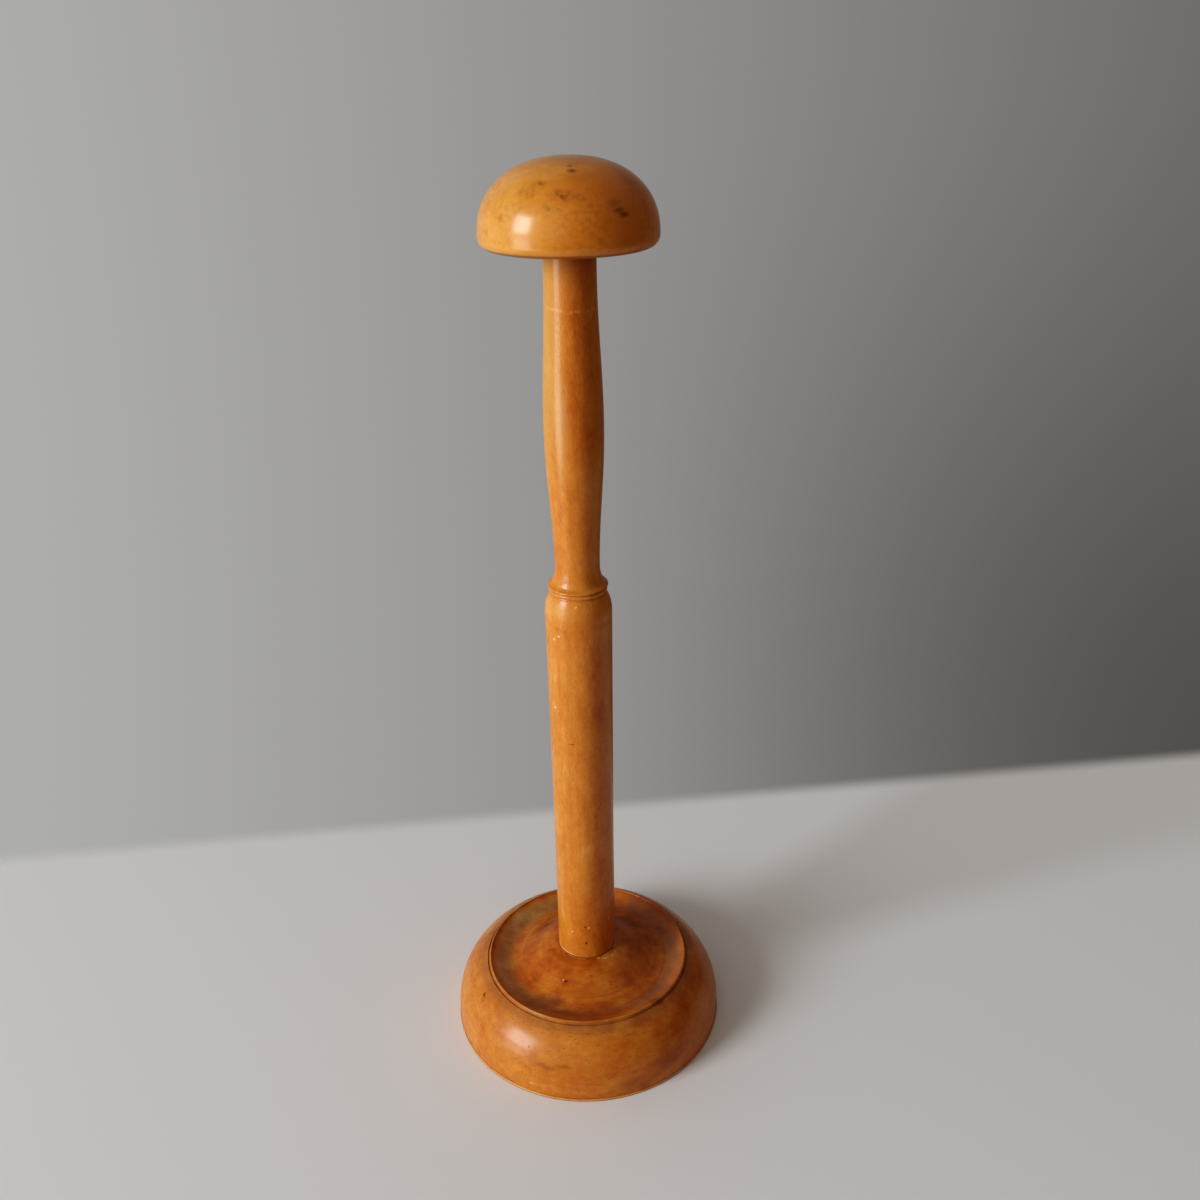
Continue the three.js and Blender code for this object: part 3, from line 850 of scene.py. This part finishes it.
def cap_finish(colours):
    """Amber wood with brown flecks, smoothed by handling and a little shinier than the rest."""
    wood = Finish(bpy.data.materials.new("cap_polished_wood"))
    place = wood.place()
    x, y, z = wood.split(place)
    radius = (x * x + y * y) ** 0.5
    loose = wood.ragged(place, size=2.5, reach=1.2)

    # Figure of the wood, which lies level, with pores that gather in clusters.
    drift = wood.noise(place, (0.02, 0.05, 0.05))
    pith = (y * y + (z - 290.0) * (z - 290.0)) ** 0.5
    growth = wood.rings(pith * 0.35 + drift * 5.0)
    streaks = wood.noise(place, (0.06, 0.8, 0.8), detail=3.0, roughness=0.6, shift=3.0)
    blotches = wood.noise(place, (0.06, 0.09, 0.09), detail=3.0, shift=9.0)
    mottle = wood.noise(place, (0.5, 0.6, 0.6), shift=11.0)
    gathered = wood.noise(place, (0.07, 0.08, 0.08), detail=1.0, shift=23.0)
    clusters = wood.rise(gathered, 0.42, 0.62)
    speckled = wood.noise(loose, (0.50, 0.62, 0.62), shift=17.0)
    pores = wood.rise(speckled, 0.40, 0.66)
    turned = wood.rings(radius * 0.6 + z * 0.4, roughness=0.6)

    # Depth of the colour, and the dark places of the photographed side.
    tone = 0.29 + (growth - 0.5) * 0.18 + (streaks - 0.5) * 0.14 + (blotches - 0.5) * 0.52
    tone = tone + (mottle - 0.5) * 0.24 + (turned - 0.5) * 0.08
    dark_places = wood.highest(
        wood.mark(loose, around(3, 13.7, 353.6), (1.3, 1.6, 1.0), 0.1) * 0.18,
        wood.mark(loose, around(5, 17.0, 352.3), (2.2, 1.8, 1.0), 0.1) * 0.26,
        wood.mark(loose, around(37.5, 28.8, 339.8), (2.4, 2.4, 1.1), 0.0) * 0.30,
        wood.mark(loose, around(10, 20.0, 351.0), (9.0, 6.0, 3.0), 0.0) * 0.14,
        wood.mark(loose, around(20, 6.0, 355.0), (17.0, 12.0, 3.0), 0.0) * 0.16,
        wood.mark(loose, around(60, 28.4, 340.9), (3.6, 3.6, 4.5), 0.1) * 0.20,
        wood.mark(loose, around(19, 30.1, 333.0), (2.6, 2.0, 1.6), 0.1) * 0.20,
    )

    # Places where the brown pores show, and the brown marks among them.
    freckled = wood.highest(
        wood.mark(place, around(-30, 24.6, 346.8), (5.0, 5.0, 3.2), 0.0) * 0.95,
        wood.mark(place, around(-24, 22.4, 348.9), (4.0, 3.6, 2.2), 0.0) * 0.95,
        wood.mark(place, around(-4, 25.3, 346.1), (6.5, 5.0, 3.0), 0.0),
        wood.mark(place, around(6, 26.0, 345.2), (5.0, 4.5, 2.4), 0.0) * 0.9,
        wood.mark(place, around(-10, 27.6, 342.5), (6.0, 5.0, 3.0), 0.0) * 0.7,
        wood.mark(place, around(-46, 29.0, 339.1), (4.0, 4.0, 2.8), 0.0) * 0.6,
        wood.mark(place, around(-63, 30.0, 334.8), (4.0, 4.0, 3.6), 0.0) * 0.7,
        clusters * 0.32,
    )
    olive_marks = wood.highest(
        freckled * (pores * 0.68 + 0.16),
        wood.mark(loose, around(3, 13.7, 353.6), (1.4, 1.7, 1.2), 0.1) * 0.75,
        wood.mark(loose, around(5, 17.0, 352.3), (2.3, 1.9, 1.2), 0.1) * 0.90,
        wood.mark(loose, around(33.5, 28.3, 341.4), (3.6, 3.6, 1.5), 0.0) * 0.85,
        wood.mark(loose, around(36.8, 28.7, 340.1), (3.2, 3.2, 1.3), 0.0) * 0.95,
        wood.mark(loose, around(31, 27.2, 343.4), (4.5, 4.5, 2.4), 0.0) * 0.45,
        # Painted shade under the lower edge, where it turns down.
        wood.rise(z, 329.0, 328.2) * 0.80,
    )

    # Painted light and shade: yellow on the side that faces the window, orange on the far side, and a pale
    # band of painted light over the lower edge.
    away = wood.rise(x - y * 0.3, -14.0, 24.0)
    tint = wood.ramp(tone + dark_places, wood_stops(colours))
    tint = wood.blend(0.38 - away * 0.38, tint, colours.straw_painted_light)
    tint = wood.blend(away * 0.6 - dark_places, tint, colours.honey_painted_shade)
    tint = wood.blend(olive_marks, tint, colours.olive)
    tint = wood.blend(wood.band(z, 328.9, 330.8, 0.5) * 0.12, tint, colours.pale)

    # Relief and gloss.
    height = turned * 0.5 + streaks * 0.25 + mottle * 0.9 - pores * clusters * 0.2
    roughness = 0.38 + (mottle - 0.5) * 0.14 + (blotches - 0.5) * 0.10
    coat = wood.rise(mottle, 0.25, 0.65) * 0.26 + 0.34 - olive_marks * 0.2
    wood.polish(tint, roughness, coat, height, coat_roughness=0.18, relief=0.022)
    return wood.owner


# Operators

class HATSTAND_OT_turned_base(bpy.types.Operator):
    """Turn the heavy round base"""

    bl_idname = "hatstand.turned_base"
    bl_label = "Turn the Base"

    def execute(self, context):
        piece = turn_on_lathe("turned_base", base_profile(context.scene.hat_stand_base))
        finish_piece(piece, base_finish(context.scene.hat_stand_wood), "base")
        return {"FINISHED"}


class HATSTAND_OT_turned_stem(bpy.types.Operator):
    """Turn the column and handle in one piece"""

    bl_idname = "hatstand.turned_stem"
    bl_label = "Turn the Stem"

    def execute(self, context):
        piece = turn_on_lathe("turned_stem", stem_profile(context.scene.hat_stand_stem))
        finish_piece(piece, stem_finish(context.scene.hat_stand_wood), "stem")
        return {"FINISHED"}


class HATSTAND_OT_turned_cap(bpy.types.Operator):
    """Turn the mushroom cap that the hat rests on"""

    bl_idname = "hatstand.turned_cap"
    bl_label = "Turn the Cap"

    def execute(self, context):
        piece = turn_on_lathe("turned_cap", cap_profile(context.scene.hat_stand_cap))
        finish_piece(piece, cap_finish(context.scene.hat_stand_wood), "cap")
        return {"FINISHED"}


def floor_finish(stage):
    """A plain matt floor that fades into the room a little way from the stand."""
    paint = Finish(bpy.data.materials.new("pale_floor"))
    x, y, _ = paint.split(paint.place())
    behind = paint.rise(y - x * 0.1, *BACK_FADE)
    outside = paint.rise((x * x + y * y) ** 0.5, *FLOOR_FADE)
    matt = {"Base Color": opaque(stage.floor), "Roughness": 0.85}
    solid = paint.node("ShaderNodeBsdfPrincipled", inputs=matt)
    clear = paint.node("ShaderNodeBsdfTransparent")
    mixed = {0: paint.highest(behind, outside), 1: solid, 2: clear}
    paint.close("ShaderNodeOutputMaterial", paint.node("ShaderNodeMixShader", inputs=mixed))
    return paint.owner


def room_light(stage):
    """Soft light from all round: bright on the window side, dim and warm on the other."""
    room = Finish(bpy.data.worlds.new("soft_room"))
    x, y, z = room.split(room.node("ShaderNodeTexCoord", output="Generated"))
    stops = [
        (0.0, stage.room_left),
        (0.5, stage.room_middle),
        (0.73, stage.room_turn),
        (1.0, stage.room_right),
    ]
    tint = room.ramp(x * 0.5 + 0.5, stops)
    behind_camera = room.rise(y, 0.25, -0.45) * 0.65
    behind_camera = behind_camera * (1.0 - room.rise(x, 0.05, 0.55) * 0.75)
    tint = room.blend(behind_camera, tint, stage.room_back)
    shaded_wall = room.rise(z, 0.0, -0.55) * room.rise(x, -0.05, 0.55)
    tint = room.blend(shaded_wall * 0.75, tint, stage.low_wall)
    tint = room.blend(room.rise(z, 0.35, 0.85), tint, stage.ceiling)
    room.close("ShaderNodeOutputWorld", room.node("ShaderNodeBackground", inputs={"Color": tint}))
    return room.owner


def add_window(name, side, lift, width, height, watts, tint):
    """An area light that faces the middle of the stand, placed by its side and lift in degrees."""
    flat = math.cos(math.radians(lift))
    turned = math.radians(side)
    towards = Vector((math.sin(turned) * flat, -math.cos(turned) * flat, math.sin(math.radians(lift))))
    bpy.ops.object.light_add(type="AREA", location=STAND_MIDDLE + towards * WINDOW_DISTANCE)
    light = bpy.context.object
    light.name = name
    light.rotation_mode = "QUATERNION"
    light.rotation_quaternion = (-towards).to_track_quat("-Z", "Y")
    light.data.shape = "RECTANGLE"
    light.data.size = width
    light.data.size_y = height
    light.data.energy = watts
    light.data.color = tint


class HATSTAND_OT_stage(bpy.types.Operator):
    """Set the floor, the window light and the camera"""

    bl_idname = "hatstand.stage"
    bl_label = "Set the Stage"

    def execute(self, context):
        stage = context.scene.hat_stand_stage
        bpy.ops.object.select_all(action="DESELECT")
        bpy.ops.mesh.primitive_circle_add(
            vertices=FLOOR_STEPS, radius=stage.floor_radius, fill_type="TRIFAN", location=(0, 0, 0)
        )
        floor = context.object
        floor.name = "pale_floor"
        floor.data.materials.append(floor_finish(stage))

        add_window("tall_window", -61, 20, 1.12, 1.25, stage.window_power, DAYLIGHT)
        add_window("low_window", -60, -10, 1.2, 1.4, stage.sill_power, DAYLIGHT)
        add_window("soft_window", -14, 16, 1.8, 1.3, stage.second_power, WARM_LIGHT)

        context.scene.world = room_light(stage)
        view = context.scene.view_settings
        view.view_transform = "Standard"
        view.use_curve_mapping = True
        # The fourth curve acts on all colours together.
        all_colours = view.curve_mapping.curves[3]
        for shade, shown in TOE:
            all_colours.points.new(shade, shown)
        view.curve_mapping.update()

        bpy.ops.object.camera_add(location=(0, -stage.camera_back, stage.camera_height))
        camera = context.object
        camera.name = "photo_camera"
        camera.data.sensor_width = SENSOR_WIDTH
        camera.data.lens = SENSOR_WIDTH * stage.focal_pixels / PHOTO_SIDE
        look = Matrix.Rotation(-stage.camera_yaw, 4, "Z")
        look = look @ Matrix.Rotation(math.pi / 2 - stage.camera_pitch, 4, "X")
        look = look @ Matrix.Rotation(stage.camera_roll, 4, "Z")
        camera.matrix_world = Matrix.Translation(camera.location) @ look
        context.scene.camera = camera
        return {"FINISHED"}


class HATSTAND_PT_sidebar(bpy.types.Panel):
    """Sizes, colours and steps of the hat stand"""

    bl_idname = "HATSTAND_PT_sidebar"
    bl_label = "Hat Stand"
    bl_space_type = "VIEW_3D"
    bl_region_type = "UI"
    bl_category = "Hat Stand"

    def draw(self, context):
        for title, group, step in SECTIONS:
            box = self.layout.box()
            box.label(text=title)
            settings = getattr(context.scene, group)
            for name in settings.__annotations__:
                box.prop(settings, name)
            if step:
                box.operator(step)


# Each section of the sidebar: its title, its settings and its operator.
SECTIONS = (
    ("Wood", "hat_stand_wood", None),
    ("Base", "hat_stand_base", "hatstand.turned_base"),
    ("Stem", "hat_stand_stem", "hatstand.turned_stem"),
    ("Cap", "hat_stand_cap", "hatstand.turned_cap"),
    ("Stage", "hat_stand_stage", "hatstand.stage"),
)

CLASSES = (
    BaseSizes,
    StemSizes,
    CapSizes,
    WoodColours,
    StageSettings,
    HATSTAND_OT_turned_base,
    HATSTAND_OT_turned_stem,
    HATSTAND_OT_turned_cap,
    HATSTAND_OT_stage,
    HATSTAND_PT_sidebar,
)


def register():
    for item in CLASSES:
        bpy.utils.register_class(item)
    bpy.types.Scene.hat_stand_base = PointerProperty(type=BaseSizes)
    bpy.types.Scene.hat_stand_stem = PointerProperty(type=StemSizes)
    bpy.types.Scene.hat_stand_cap = PointerProperty(type=CapSizes)
    bpy.types.Scene.hat_stand_wood = PointerProperty(type=WoodColours)
    bpy.types.Scene.hat_stand_stage = PointerProperty(type=StageSettings)


def unregister():
    del bpy.types.Scene.hat_stand_stage
    del bpy.types.Scene.hat_stand_wood
    del bpy.types.Scene.hat_stand_cap
    del bpy.types.Scene.hat_stand_stem
    del bpy.types.Scene.hat_stand_base
    for item in reversed(CLASSES):
        bpy.utils.unregister_class(item)


def main():
    register()
    bpy.ops.hatstand.turned_base()
    bpy.ops.hatstand.turned_stem()
    bpy.ops.hatstand.turned_cap()
    bpy.ops.hatstand.stage()


if __name__ == "__main__":
    main()
